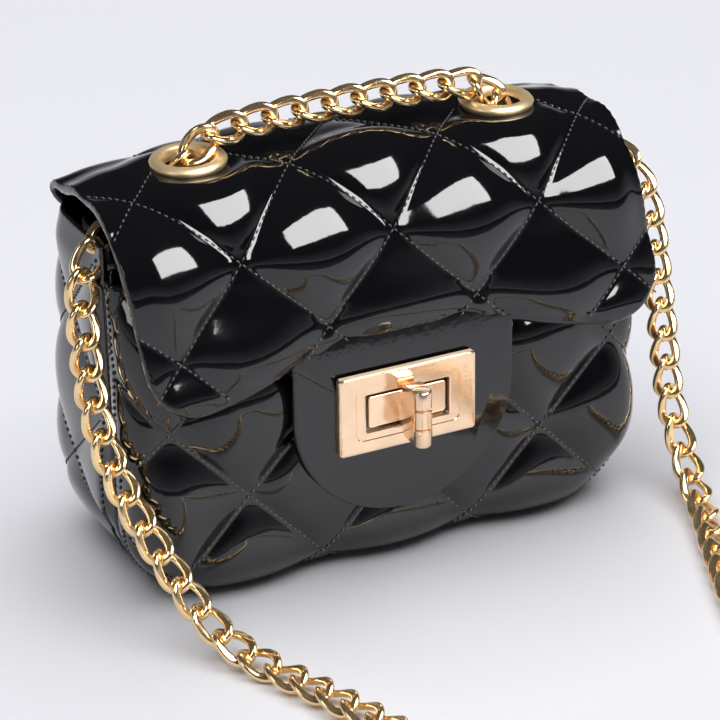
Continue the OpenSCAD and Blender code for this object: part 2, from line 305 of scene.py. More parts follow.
def outline_mesh(outline, steps, holes=()):
    """Flat mesh of the sheet inside a convex outline, less round holes (u, v, radius). Its edges follow the seams."""
    outline = np.asarray(outline, float)
    corners = np.array([[u, v] for u in (outline[:, 0].min(), outline[:, 0].max())
                        for v in (outline[:, 1].min(), outline[:, 1].max())])
    a, b = quilt_ab(corners[:, 0], corners[:, 1])
    a0, a1 = math.floor(a.min()), math.ceil(a.max())
    b0, b1 = math.floor(b.min()), math.ceil(b.max())
    na, nb = (a1 - a0) * steps, (b1 - b0) * steps
    ga, gb = np.meshgrid(np.linspace(a0, a1, na + 1), np.linspace(b0, b1, nb + 1), indexing="ij")
    u, v = quilt_uv(ga, gb)
    pad = 4.0
    keep = ((u > outline[:, 0].min() - pad) & (u < outline[:, 0].max() + pad)
            & (v > outline[:, 1].min() - pad) & (v < outline[:, 1].max() + pad))
    bm = bmesh.new()
    grid = {}
    for i, j in zip(*np.nonzero(keep)):
        grid[i, j] = bm.verts.new((u[i, j], v[i, j], 0))
    for i, j in grid:
        ring = [(i, j), (i, j + 1), (i + 1, j + 1), (i + 1, j)]
        if all(r in grid for r in ring):
            bm.faces.new([grid[r] for r in ring])
    centre = outline.mean(0)
    for k in range(len(outline)):
        p, q = outline[k], outline[(k + 1) % len(outline)]
        d = q - p
        if np.hypot(*d) < 1e-6:
            continue
        normal = np.array([d[1], -d[0]])
        if normal @ (centre - p) > 0:
            normal = -normal
        geom = bm.verts[:] + bm.edges[:] + bm.faces[:]
        bmesh.ops.bisect_plane(bm, geom=geom, dist=1e-4, plane_co=(p[0], p[1], 0),
                               plane_no=(normal[0], normal[1], 0), clear_outer=True)
    bmesh.ops.remove_doubles(bm, verts=bm.verts, dist=0.02)
    for hu, hv, radius in holes:
        middles = [(f, f.calc_center_median()) for f in bm.faces]
        inner = [f for f, c in middles if math.hypot(c.x - hu, c.y - hv) < radius]
        bmesh.ops.delete(bm, geom=inner, context="FACES")
        for x in bm.verts:
            if x.is_boundary and math.hypot(x.co.x - hu, x.co.y - hv) < radius + 4:
                d = Vector((x.co.x - hu, x.co.y - hv))
                d = d.normalized() * radius
                x.co.x, x.co.y = hu + d.x, hv + d.y
    loose = [x for x in bm.verts if not x.link_faces]
    bmesh.ops.delete(bm, geom=loose, context="VERTS")
    bm.verts.index_update()
    uv = np.array([x.co[:2] for x in bm.verts])
    faces = [[x.index for x in f.verts] for f in bm.faces]
    rim = [(e.verts[0].index, e.verts[1].index) for e in bm.edges if len(e.link_faces) == 1]
    bm.free()
    return uv, faces, rim


def surface_normals(place, u, v):
    """Outward unit normals of a mapped sheet."""
    step = 0.15
    du = place(u + step, v) - place(u - step, v)
    dv = place(u, v + step) - place(u, v - step)
    n = np.cross(du, dv)
    return n / np.maximum(np.linalg.norm(n, axis=1, keepdims=True), 1e-9)


def arc(centre, radius, start, end, count):
    t = np.radians(np.linspace(start, end, count))
    return [[centre[0] + radius * math.cos(x), centre[1] + radius * math.sin(x)] for x in t]


def stitch_mesh(name, place, height, inside, span):
    """Thread dashes along every seam of a sheet, as one mesh."""
    u_low, u_high, v_low, v_high = span
    corners = np.array([[u, v] for u in (u_low, u_high) for v in (v_low, v_high)])
    a, b = quilt_ab(corners[:, 0], corners[:, 1])
    seam_step = STITCH_PITCH / math.hypot(DIAMOND_W / 2, DIAMOND_HALF_H)
    starts = []
    for which, values in ((0, a), (1, b)):
        other = b if which == 0 else a
        for whole in range(math.floor(values.min()), math.ceil(values.max()) + 1):
            t = np.arange(math.floor(other.min()), math.ceil(other.max()), seam_step)
            fixed = np.full_like(t, float(whole))
            ab = (fixed, t) if which == 0 else (t, fixed)
            u, v = quilt_uv(*ab)
            step = np.array(quilt_uv(*((0, 1) if which == 0 else (1, 0))))
            starts.append(np.column_stack([u, v, np.tile(step / np.hypot(*step), (len(u), 1))]))
    marks = np.vstack(starts)
    marks = marks[inside(marks[:, 0], marks[:, 1])]
    return dashes(name, place, height, marks)


def dashes(name, place, height, marks):
    """Small spindle-shaped stitches at marks of (u, v, direction u, direction v)."""
    u, v, du, dv = marks.T
    half = STITCH_LENGTH / 2
    middle = place(u, v)
    ahead = place(u + du * half, v + dv * half)
    behind = place(u - du * half, v - dv * half)
    n = surface_normals(place, u, v)
    rise = (height(u, v) + STITCH_LIFT)[:, None] * n
    along = ahead - behind
    along /= np.maximum(np.linalg.norm(along, axis=1, keepdims=True), 1e-9)
    across = np.cross(n, along)
    rings, sides = ((-1.0, 0.25), (-0.6, 0.9), (0.0, 1.0), (0.6, 0.9), (1.0, 0.25)), 6
    turn = np.linspace(0, 2 * math.pi, sides, endpoint=False)
    verts, faces = [], []
    for k in range(len(marks)):
        base = len(verts)
        for t, fat in rings:
            centre = middle[k] + rise[k] + along[k] * t * half - n[k] * 0.25 * t * t
            for w in turn:
                verts.append(centre + (across[k] * math.cos(w) + n[k] * math.sin(w)) * STITCH_WIDTH / 2 * fat)
        for r in range(len(rings) - 1):
            for s in range(sides):
                p, q = base + r * sides + s, base + r * sides + (s + 1) % sides
                faces.append([p, q, q + sides, p + sides])
        faces.append([base + s for s in reversed(range(sides))])
        faces.append([base + (len(rings) - 1) * sides + s for s in range(sides)])
    return new_object(name, verts, faces, THREAD)


# ---------------------------------------------------------------- body shells

class Shell:
    """One wall of the body: a flat face whose sides and underside turn back to the crease."""

    def __init__(self, face, crease, rim, edge_r, side, lean, belly=0.0):
        self.face, self.crease, self.rim, self.edge_r, self.side = face, crease, rim, edge_r, side
        self.lean, self.belly = lean, belly
        self.corner = LOW_CORNER_R - edge_r
        self.depth = abs(crease - face)
        self.turn = edge_r * math.pi / 2
        self.wrap = self.turn + self.depth - edge_r
        self.core_x = HALF_W - edge_r - self.corner
        self.core_z = LOW_CORNER_R

    def fold(self, u, v):
        """Distance past the flat face's outline, and the direction outward in plan."""
        dx = np.maximum(np.abs(u) - self.core_x, 0)
        dz = np.maximum(self.core_z - v, 0)
        q = np.hypot(dx, dz)
        safe = np.maximum(q, 1e-9)
        return q, np.sign(u) * dx / safe, -dz / safe

    def place(self, u, v):
        """Sheet place (u, v) to a point in space. v is height on the flat face."""
        u, v = np.asarray(u, float), np.asarray(v, float)
        q, nx, nz = self.fold(u, v)
        t = np.maximum(q - self.corner, 0)
        bent = np.minimum(t, self.turn)
        reach = np.minimum(q, self.corner) + self.edge_r * np.sin(bent / self.edge_r)
        core_u = np.clip(u, -self.core_x, self.core_x)
        core_v = np.maximum(v, self.core_z)
        x = core_u + nx * reach
        z = core_v + nz * reach
        back = self.edge_r * (1 - np.cos(bent / self.edge_r)) + np.maximum(t - self.turn, 0)
        above = np.maximum(z - TAPER_Z, 0)
        lean = self.lean * above * above / (above + 6) * np.clip(1 - back / self.depth, 0, 1)
        lean = lean - self.belly * np.exp(-((z - 26) / 42) ** 2) * np.clip(1 - back / self.depth, 0, 1)
        y = self.face + self.side * (back + lean + SINK)
        return np.column_stack([x, y, z])

    def past(self, u, v):
        return np.maximum(self.fold(u, v)[0] - self.corner, 0)

    def outline(self):
        far = self.core_x + self.corner + self.wrap
        low = self.core_z - self.corner - self.wrap
        r = self.corner + self.wrap
        right = arc((self.core_x, self.core_z), r, 0, -90, 14)
        left = arc((-self.core_x, self.core_z), r, -90, -180, 14)
        return [[-far, self.rim], [far, self.rim]] + right + left, (-far, far, low, self.rim)

    def border_marks(self, inset):
        """Stitch marks that follow the crease all the way round, inset from it."""
        r = self.corner + self.wrap - inset
        path = [[self.core_x + r, z] for z in np.linspace(self.rim - 4, self.core_z, 40)]
        path += arc((self.core_x, self.core_z), r, 0, -90, 20)[1:]
        path += [[x, self.core_z - r] for x in np.linspace(self.core_x, -self.core_x, 60)[1:]]
        path += arc((-self.core_x, self.core_z), r, -90, -180, 20)[1:]
        path += [[-self.core_x - r, z] for z in np.linspace(self.core_z, self.rim - 4, 40)[1:]]
        path = np.array(path)
        along = np.concatenate([[0], np.cumsum(np.hypot(*np.diff(path, axis=0).T))])
        at = np.arange(1, along[-1], STITCH_PITCH)
        spots = np.column_stack([np.interp(at, along, path[:, k]) for k in (0, 1)])
        step = np.gradient(spots, axis=0)
        step /= np.hypot(step[:, 0], step[:, 1])[:, None]
        return np.column_stack([spots, step])


def shell_height(shell, quilt_v, edge_fade, amount, pressed):
    """pressed is how much the closure tab flattens the pillows behind it."""
    def height(u, v):
        fade = 1 - smooth(shell.past(u, v), shell.wrap - edge_fade, shell.wrap - 0.5)
        rim = smooth(shell.rim - np.asarray(v, float), 0, 9)
        under = 1 - 0.62 * smooth(shell.past(u, v), 0, shell.turn)
        flatten = 1 - pressed * (1 - smooth(np.abs(u), 24, 40)) * smooth(v, 8, 26)
        base = 0.5 + 0.5 * smooth(v, -4, 28)
        return puff(u, v - quilt_v, amount) * fade * under * flatten * base * (0.25 + 0.75 * rim)
    return height


def closed_sheet(name, points, normals, faces, rim, thickness, lip, material):
    """A sheet given a back face and a rounded edge."""
    count = len(points)
    inner = points - normals * np.asarray(thickness).reshape(-1, 1)
    rim_verts = sorted({i for e in rim for i in e})
    middle = {v: 2 * count + k for k, v in enumerate(rim_verts)}
    neighbours = {v: [] for v in rim_verts}
    for p, q in rim:
        neighbours[p].append(q)
        neighbours[q].append(p)
    owner = {}
    for f in faces:
        for i, p in enumerate(f):
            owner.setdefault(p, []).append(f)
    mids = []
    for v in rim_verts:
        centre = np.mean([points[list(f)].mean(0) for f in owner[v]], axis=0)
        out = points[v] - centre
        out -= normals[v] * (out @ normals[v])
        if len(neighbours[v]) == 2:
            t = points[neighbours[v][1]] - points[neighbours[v][0]]
            t /= max(np.linalg.norm(t), 1e-9)
            out -= t * (out @ t)
        out /= max(np.linalg.norm(out), 1e-9)
        mids.append((points[v] + inner[v]) / 2 + out * lip)
    verts = np.vstack([points, inner, np.array(mids)])
    all_faces = [list(f) for f in faces] + [[i + count for i in reversed(f)] for f in faces]
    directed = {(f[i], f[(i + 1) % len(f)]) for f in faces for i in range(len(f))}
    for p, q in rim:
        if (p, q) not in directed:
            p, q = q, p
        all_faces.append([q, p, middle[p], middle[q]])
        all_faces.append([middle[q], middle[p], p + count, q + count])
    return new_object(name, verts, all_faces, material)


def quilted_shell(name, shell, quilt_v, edge_fade, amount, pressed, steps):
    """The visible quilted wall, with the height and span that its thread is laid out from."""
    outline, span = shell.outline()
    outline = [[u, v - quilt_v] for u, v in outline]
    uv, faces, rim = outline_mesh(outline, steps)
    u, v = uv[:, 0], uv[:, 1] + quilt_v
    if shell.side < 0:
        u = -u
    height = shell_height(shell, quilt_v, edge_fade, amount, pressed)
    points = shell.place(u, v)
    n = surface_normals(shell.place, u, v)
    outward = -shell.side
    n = n * np.sign((n[:, 1] * outward).sum())
    points = points + n * height(u, v)[:, None]
    points[:, 2] = np.maximum(points[:, 2], 0.4)
    first = faces[0]
    turn = np.cross(points[first[1]] - points[first[0]], points[first[2]] - points[first[0]])
    if turn @ n[first[0]] < 0:
        faces = [f[::-1] for f in faces]
    ob = closed_sheet(name, points, n, faces, rim, 1.6, 0.3, PATENT)
    crease_seams(ob, len(points), *quilt_ab(u, v - quilt_v))
    return ob, height, span


front = Shell(FACE_FRONT, CREASE_FRONT, RIM_FRONT, 12.0, 1, 0.31)
back = Shell(FACE_BACK, CREASE_BACK, SIDE_RIM, 14.0, -1, 0.13, 7.0)
QUILT_V = 30.0                        # height of the row of crossings below the middle of the front
STEPS = 16


def build_shells():
    for name, shell, fade, pressed, nodes in (("quilted_front", front, 10.0, 0.5, ("front_shell", "front_pad")),
                                              ("quilted_back", back, 5.0, 0.0, ("back_shell", "back_pad"))):
        ob, height, span = quilted_shell(name, shell, QUILT_V, fade, PUFF_BODY, pressed, STEPS)
        subdivide(ob)
        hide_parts(*nodes)

        # Stitches are laid out with v from the row of crossings, and mirrored on the back so that they face out.
        def place(u, v, shell=shell):
            return shell.place(np.asarray(u, float) * shell.side, np.asarray(v, float) + QUILT_V)

        def rise(u, v, height=height):
            return height(u, np.asarray(v, float) + QUILT_V)

        def inside(u, v, shell=shell):
            v = np.asarray(v, float) + QUILT_V
            return (shell.past(u, v) < shell.wrap - 6) & (v < shell.rim - 2)

        u_low, u_high, v_low, v_high = span
        thread = stitch_mesh(name + "_thread", place, rise, inside,
                             (u_low, u_high, v_low - QUILT_V, v_high - QUILT_V))
        marks = shell.border_marks(4.0) - np.array([0, QUILT_V, 0, 0])
        border = dashes(name + "_border_thread", place, rise, marks)
        for piece in (ob, thread, border):
            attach(piece, "root")


# ---------------------------------------------------------------- flap

ROLL_R, ROLL_Y, SLANT = 20.0, -6.0, math.radians(20)
BACK_R, BACK_Y, BACK_END = 8.0, 18.0, 102.0
MID_ROW = 33.6                 # sheet distance from the lower edge's level to the middle row of crossings


def flap_profile():
    """The flap's section as points (y, z) at even spacing, from the lower edge up and over to the back wall."""
    top = FLAP_TOP - SINK
    centre = (ROLL_Y, top - ROLL_R)
    roll_end = (centre[0] - ROLL_R * math.cos(SLANT), centre[1] + ROLL_R * math.sin(SLANT))
    low = FLAP_EDGE - 8
    start = (roll_end[0] - (roll_end[1] - low) * math.tan(SLANT), low)
    pts = [start]
    pts += arc(centre, ROLL_R, 180 - math.degrees(SLANT), 90, 40)
    pts += arc((BACK_Y, top - BACK_R), BACK_R, 90, 0, 30)
    pts += [[BACK_Y + BACK_R, BACK_END]]
    pts = np.array(pts, float)
    s = np.concatenate([[0], np.cumsum(np.hypot(*np.diff(pts, axis=0).T))])
    edge = (FLAP_EDGE - low) / math.cos(SLANT)
    return pts, s - edge


PROFILE, PROFILE_S = flap_profile()
EYELET_V = float(np.interp(0.0, PROFILE[:, 0], PROFILE_S))


def flap_place(u, v):
    """v is the distance up the sheet from the lower edge's level."""
    u, v = np.asarray(u, float), np.asarray(v, float)
    y = np.interp(v, PROFILE_S, PROFILE[:, 0])
    z = np.interp(v, PROFILE_S, PROFILE[:, 1])
    high = smooth(z, 70, 112)
    crown = (0.66 + 0.45 * high) * (u / DIAMOND_W) ** 2
    # The sheet sits a little askew: it reaches further out low on the right than low on the left.
    low = 1 - smooth(z, 66, 108)
    flare = np.where(u < 0, 1.0 - 0.045 * low, 0.975 + 0.05 * low)
    tail = smooth(v, PROFILE_S[-1] - 26, PROFILE_S[-1] - 6)
    z = z + (1.3 - crown) * (1 - tail)
    z = z - 7.0 * smooth(y, 3, 26) * (0.3 + 0.7 * smooth(np.abs(u), 36, 74)) * (1 - 0.5 * tail)
    seat = 1 - smooth(np.hypot(np.abs(u) - EYELET_X, v - EYELET_V), SEAT_R, SEAT_R + 9)
    z = z + seat * (FLAP_TOP - 0.25 - z)
    droop = smooth(np.abs(u), 20, 58) * (1 - smooth(v, 0, 30))
    tuck = np.clip((94 - z) / 28, 0, 1) ** 1.6
    y = y - 1.5 * droop + TUCK * tuck - BULGE * np.exp(-((z - 97) / 12) ** 2)
    return np.column_stack([u * flare, y, z])


TUCK = 3.2                            # how far the lower edge turns in towards the body
BULGE = 2.4                           # how far the sheet swells out above it
SEAT_R = EYELET_R + 0.5
HOLE_R = 7.7                          # hole in the flap, hidden by the eyelet's flange


def eyelet_gap(u, v):
    """Distance along the sheet from the nearer eyelet's middle."""
    return np.hypot(np.abs(u) - EYELET_X, np.asarray(v, float) - EYELET_V)


def flap_edge_v(u):
    """The lower edge is highest in the middle, where the tab comes out, and hangs lower at the sides."""
    return 4.6 - 9.8 * smooth(np.abs(u), 4, 66)


FLAP_HALF = HALF_W - 0.5
FLAP_CORNER = 15.0
FLAP_THIN = 2.2                       # the flap's thickness at its edges, under the pillows
FLAP_BASE_V = -5.0                    # where the sheet's straight lower edge lies before it is curved
SQUEEZE = 22.0                        # how much of the sheet gives when it is


def flap_outline():
    low = FLAP_BASE_V
    c = FLAP_HALF - FLAP_CORNER
    right = arc((c, low + FLAP_CORNER), FLAP_CORNER, 0, -90, 12)
    left = arc((-c, low + FLAP_CORNER), FLAP_CORNER, -90, -180, 12)
    top = PROFILE_S[-1]
    r = 9.0
    return (arc((r - FLAP_HALF, top - r), r, 180, 90, 8) + arc((FLAP_HALF - r, top - r), r, 90, 0, 8)
            + right + left)


def to_curved_edge(u, v, inset=0.0):
    """The lowest part of the flat sheet, squeezed so that its straight edge follows the curved one."""
    lift = flap_edge_v(u) + inset - FLAP_BASE_V
    return np.where(v < FLAP_BASE_V + SQUEEZE, v + lift * (1 - (v - FLAP_BASE_V) / SQUEEZE), v)


def from_flap_edge(u, v):
    return np.minimum(FLAP_HALF - np.abs(u), v - flap_edge_v(u))


def flap_height(u, v):
    side = smooth(FLAP_HALF - np.abs(u), -0.5, 10)
    low = smooth(np.asarray(v, float) - flap_edge_v(u), -1, 9)
    tail = 1 - smooth(v, PROFILE_S[-1] - 14, PROFILE_S[-1] - 2)
    plain = puff(u, np.asarray(v, float) - MID_ROW, PUFF_FLAP)
    level = 1 - 0.62 * smooth(v, EYELET_V - 12, EYELET_V)
    seat = smooth(eyelet_gap(u, v), SEAT_R, SEAT_R + 8)
    # The lowest row of diamonds hangs flatter under its top corners.
    across = np.abs((u / DIAMOND_W + 0.5) % 1 - 0.5) * 2
    up = (np.asarray(v, float) - MID_ROW + DIAMOND_HALF_H) / DIAMOND_HALF_H
    lowest = (across + np.abs(up) < 1) | (up < -1 + across)
    slack = np.where(lowest, 0.75 * (0.3 + 0.7 * smooth(-up, -1.0, 0.3)), 1.0)
    return plain * (0.45 + 0.55 * side) * (0.55 + 0.45 * low) * tail * level * seat * slack


def flap_cloth():
    """The woven lining under the flap, held clear of the eyelets and a little loose."""
    inset = 8.0
    outline = [[u * (1 - inset / FLAP_HALF), v - MID_ROW] for u, v in flap_outline()]
    holes = [(side * EYELET_X, EYELET_V - MID_ROW, EYELET_R) for side in (-1, 1)]
    uv, faces, rim = outline_mesh(outline, 8, holes)
    u, v = uv[:, 0], uv[:, 1] + MID_ROW
    v = np.minimum(to_curved_edge(u, v, inset), PROFILE_S[-1] - 4)
    n = surface_normals(flap_place, u, v)
    loose = 0.25 * np.sin(u * 0.31 + 1.3 * np.sin(v * 0.12)) * np.sin(v * 0.17 + 0.8) + 0.25
    inward = from_flap_edge(u, v)
    points = flap_place(u, v) - n * (FLAP_THIN + 0.8 + 1.2 * smooth(inward, 0, 10) + loose)[:, None]
    cloth = closed_sheet("flap_lining_cloth", points, n, faces, rim, 0.5, 0.1, LINING)
    subdivide(cloth)
    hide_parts("flap_lining")
    return cloth


def build_flap():
    outline = [[u, v - MID_ROW] for u, v in flap_outline()]
    holes = [(side * EYELET_X, EYELET_V - MID_ROW, HOLE_R) for side in (-1, 1)]
    uv, faces, rim = outline_mesh(outline, STEPS, holes)
    u, v = uv[:, 0], uv[:, 1] + MID_ROW
    v = to_curved_edge(u, v)
    n = surface_normals(flap_place, u, v)
    points = flap_place(u, v)
    points = points + n * flap_height(u, v)[:, None]
    inward = from_flap_edge(u, v)
    thickness = FLAP_THIN + 1.2 * smooth(inward, 0, 10)
    low_roll = smooth(6 - (v - flap_edge_v(u)), 0, 6)
    points = points - n * (low_roll ** 2 * 1.6)[:, None]
    filling = thickness + flap_height(u, v)
    skin = closed_sheet("quilted_flap", points, n, faces, rim, filling, 0.7, PATENT)
    crease_seams(skin, len(points), *quilt_ab(uv[:, 0], uv[:, 1]))
    subdivide(skin)
    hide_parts("flap_shell", "flap_pad")
    cloth = flap_cloth()

    def inside(u, v):
        v = np.asarray(v, float) + MID_ROW
        hole = eyelet_gap(u, v) > EYELET_R + 0.6
        return (np.abs(u) < FLAP_HALF - 0.8) & (v > flap_edge_v(u) + 1.0) & (v < PROFILE_S[-1] - 3) & hole

    def place(u, v):
        return flap_place(u, np.asarray(v, float) + MID_ROW)

    def height(u, v):
        return flap_height(u, np.asarray(v, float) + MID_ROW)

    span = (-FLAP_HALF, FLAP_HALF, FLAP_BASE_V - MID_ROW, PROFILE_S[-1] - MID_ROW)
    thread = stitch_mesh("quilted_flap_thread", place, height, inside, span)
    for ob in (skin, thread, cloth):
        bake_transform(ob)
    return skin


# ---------------------------------------------------------------- chain

WIRE_D = 2.55
LINK_TWIST = math.radians(42)


def link_shape(length, width):
    """One curb link along X: an oval wire, twisted about its length, with flats cut on both faces."""
    turns, sides = 36, 12
    straight = length / 2 - width / 2
    r = width / 2
    t = np.linspace(0, 2 * math.pi, turns, endpoint=False)
    # Stadium with soft corners
    x = np.sign(np.cos(t)) * np.abs(np.cos(t)) ** 0.72 * (straight + r)
    y = np.sign(np.sin(t)) * np.abs(np.sin(t)) ** 0.85 * r
    path = np.column_stack([x, y, np.zeros(turns)])
    tangent = np.roll(path, -1, 0) - np.roll(path, 1, 0)
    tangent /= np.linalg.norm(tangent, axis=1, keepdims=True)
    up = np.tile([0.0, 0.0, 1.0], (turns, 1))
    side = np.cross(tangent, up)
    verts = []
    for k in range(turns):
        for s in range(sides):
            w = 2 * math.pi * (s + 0.5) / sides
            flat = 0.80 * WIRE_D / 2
            p_side = math.cos(w) * WIRE_D / 2
            p_up = max(-flat, min(flat, math.sin(w) * WIRE_D / 2))
            verts.append(path[k] + side[k] * p_side + up[k] * p_up)
    verts = np.array(verts)
    angle = LINK_TWIST * np.clip(verts[:, 0] / (length / 2), -1, 1)
    c, s = np.cos(angle), np.sin(angle)
    y, z = verts[:, 1].copy(), verts[:, 2].copy()
    verts[:, 1], verts[:, 2] = c * y - s * z, s * y + c * z
    faces = []
    for k in range(turns):
        for s in range(sides):
            a, b = k * sides + s, k * sides + (s + 1) % sides
            c2, d = ((k + 1) % turns) * sides + (s + 1) % sides, ((k + 1) % turns) * sides + s
            faces.append([a, b, c2, d])
    return verts, faces


def islands(ob):
    """Vertex groups of the separate solids in a CAD node, in millimetres."""
    mesh = ob.data
    co = np.array([v.co for v in mesh.vertices]) / MM
    keys = {}
    index = np.zeros(len(co), int)
    for i, p in enumerate(np.round(co, 3)):
        index[i] = keys.setdefault(tuple(p), len(keys))
    parent = list(range(len(keys)))

    def find(i):
        while parent[i] != i:
            parent[i] = parent[parent[i]]
            i = parent[i]
        return i

    for e in mesh.edges:
        p, q = find(index[e.vertices[0]]), find(index[e.vertices[1]])
        if p != q:
            parent[p] = q
    groups = {}
    for i in range(len(co)):
        groups.setdefault(find(index[i]), []).append(i)
    return [co[g] for g in groups.values()]


def link_frames(node, facing):
    """Centre, length axis and face normal of each link in a CAD chain node."""
    found = []
    for points in islands(frame["nodes"][node]):
        unique = np.unique(np.round(points, 2), axis=0)
        centred = unique - unique.mean(0)
        _, _, axes = np.linalg.svd(centred, full_matrices=False)
        along = axes[0]
        reach = centred @ along
        centre = unique.mean(0) + along * (reach.max() + reach.min()) / 2
        normal = np.array(facing, float)
        normal -= along * (normal @ along)
        normal /= np.linalg.norm(normal)
        found.append((centre, along, normal, reach.max() - reach.min()))
    return found


def chain_piece(name, node, body, facing):
    verts, faces = [], []
    for centre, along, normal, length in link_frames(node, facing):
        shape, shape_faces = link_shape(length - WIRE_D, 6.9)
        across = np.cross(normal, along)
        base = len(verts)
        verts.extend(centre + shape @ np.array([along, across, normal]))
        faces.extend([[i + base for i in f] for f in shape_faces])
    ob = new_object(name, verts, faces, GOLD)
    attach(ob, body)
    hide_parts(node)
    return ob


TOWARD_VIEW = (0, -0.7, 0.7)
UPWARD = (0, -0.15, 1)


def build_chain():
    chain_piece("bridge_links", "chain_bridge", "chain_bridge", TOWARD_VIEW)
    for side in ("left", "right"):
        chain_piece(f"eyelet_links_{side}", f"dive_links_{side}", "flap", TOWARD_VIEW)
        chain_piece(f"entry_links_{side}", f"strap_{side}_entry", "root", TOWARD_VIEW)
        chain_piece(f"hanging_links_{side}", f"strap_{side}_hang", f"strap_{side}_hang", TOWARD_VIEW)
        for k in (1, 2, 3):
            node = f"strap_{side}_floor_{k}"
            chain_piece(f"floor_links_{side}_{k}", node, node, UPWARD)


# ---------------------------------------------------------------- metalwork and tab

def rounded_rect(w, h, r, per_corner=6):
    r = max(r, 0.05)
    pts = []
    for cx, cy, a in ((w / 2 - r, h / 2 - r, 0), (r - w / 2, h / 2 - r, 90),
                      (r - w / 2, r - h / 2, 180), (w / 2 - r, r - h / 2, 270)):
        pts += arc((cx, cy), r, a, a + 90, per_corner)
    return np.array(pts)


def lathe(name, section, centre, axis_tilt, material, sides=64):
    """A ring turned about Z from a closed section of (radius, height)."""
    section = np.asarray(section, float)
    verts, faces = [], []
    m = len(section)
    tilt = Matrix.Rotation(axis_tilt, 3, "Y")
    for k in range(sides):
        a = 2 * math.pi * k / sides
        for r, z in section:
            p = tilt @ Vector((r * math.cos(a), r * math.sin(a), z))
            verts.append([centre[0] + p.x, centre[1] + p.y, centre[2] + p.z])
    for k in range(sides):
        n = (k + 1) % sides
        for i in range(m):
            j = (i + 1) % m
            faces.append([k * m + i, n * m + i, n * m + j, k * m + j])
    return new_object(name, verts, faces, material)


def build_eyelets():
    hole = (WASHER_HIGH[0] - WASHER_LOW[0]) / 2 - 0.9
    for side, name in ((-1, "left"), (1, "right")):
        section = []
        # Domed flange from the outside edge over to the hole, then down the barrel and back up outside it.
        for t in np.linspace(0, 1, 14):
            r = EYELET_R - (EYELET_R - hole) * t
            z = 2.3 * math.sin(math.pi * min(max(0.06 + 0.80 * t, 0), 1)) ** 0.55
            section.append((r, z))
        section += [(hole, -2.0), (hole, -7.0), (hole + 0.7, -7.0), (hole + 0.7, -0.5), (EYELET_R - 0.4, -0.4)]
        tilt = math.radians(1.5) * side
        ob = lathe(f"eyelet_ring_{name}", section, (side * EYELET_X, 0, FLAP_TOP), tilt, EYELET_GOLD)
        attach(ob, "flap")
        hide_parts(f"eyelet_{name}")
        frame["nodes"][f"eyelet_washer_{name}"].data.materials.clear()
        frame["nodes"][f"eyelet_washer_{name}"].data.materials.append(GOLD)


def sharpen(ob, degrees):
    """Smooth shading that breaks at edges steeper than the limit."""
    bm = bmesh.new()
    bm.from_mesh(ob.data)
    for e in bm.edges:
        e.smooth = e.calc_face_angle(0) < math.radians(degrees)
    bm.to_mesh(ob.data)
    bm.free()


def extruded(name, ring, shift, bevel, steep, material):
    """A prism from a ring of points in millimetres, with the edges steeper than the limit bevelled."""
    bm = bmesh.new()
    face = bm.faces.new([bm.verts.new(Vector(p) * MM) for p in ring])
    result = bmesh.ops.extrude_face_region(bm, geom=[face])
    moved = [g for g in result["geom"] if isinstance(g, bmesh.types.BMVert)]
    bmesh.ops.translate(bm, verts=moved, vec=Vector(shift) * MM)
    bmesh.ops.recalc_face_normals(bm, faces=bm.faces)
    edges = [e for e in bm.edges if e.calc_face_angle(0) > steep]
    bmesh.ops.bevel(bm, geom=edges, offset=bevel * MM, segments=3, profile=0.5, affect="EDGES")
    mesh = bpy.data.meshes.new(name)
    bm.to_mesh(mesh)
    bm.free()
    mesh.polygons.foreach_set("use_smooth", [True] * len(mesh.polygons))
    mesh.materials.append(material)
    ob = bpy.data.objects.new(name, mesh)
    bpy.context.scene.collection.objects.link(ob)
    return ob


def bevelled_prism(name, outline, front_y, back_y, bevel, material):
    """A flat plate facing -Y with softened edges, from an outline of (x, z)."""
    ring = [(x, front_y, z) for x, z in outline]
    ob = extruded(name, ring, (0, back_y - front_y, 0), bevel, 0.9, material)
    m = ob.modifiers.new("normals", "WEIGHTED_NORMAL")
    m.keep_sharp = True
    apply_modifiers(ob)
    return ob


def build_tab():
    half = TAB_HIGH[0]
    low = TAB_LOW[2]
    bend, top = TAB_HIGH[2] - 2.5, TAB_HIGH[2] + 3.5
    side_z = np.linspace(low + half, top, 14)
    pts = arc((0, low + half), half, 180, 360, 60)
    pts += [[half, z] for z in side_z[1:]] + [[-half, z] for z in side_z[:0:-1]]
    tab = bevelled_prism("closure_tab_skin", pts, TAB_LOW[1], TAB_HIGH[1], 0.7, PATENT)
    for vert in tab.data.vertices:
        # The top of the tab leans in behind the flap's lower edge.
        vert.co.y += max(vert.co.z / MM - bend, 0) * 0.32 * MM
    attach(tab, "flap")
    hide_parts("closure_tab")


PLATE_T = 1.9                         # visible thickness of the lock's frame


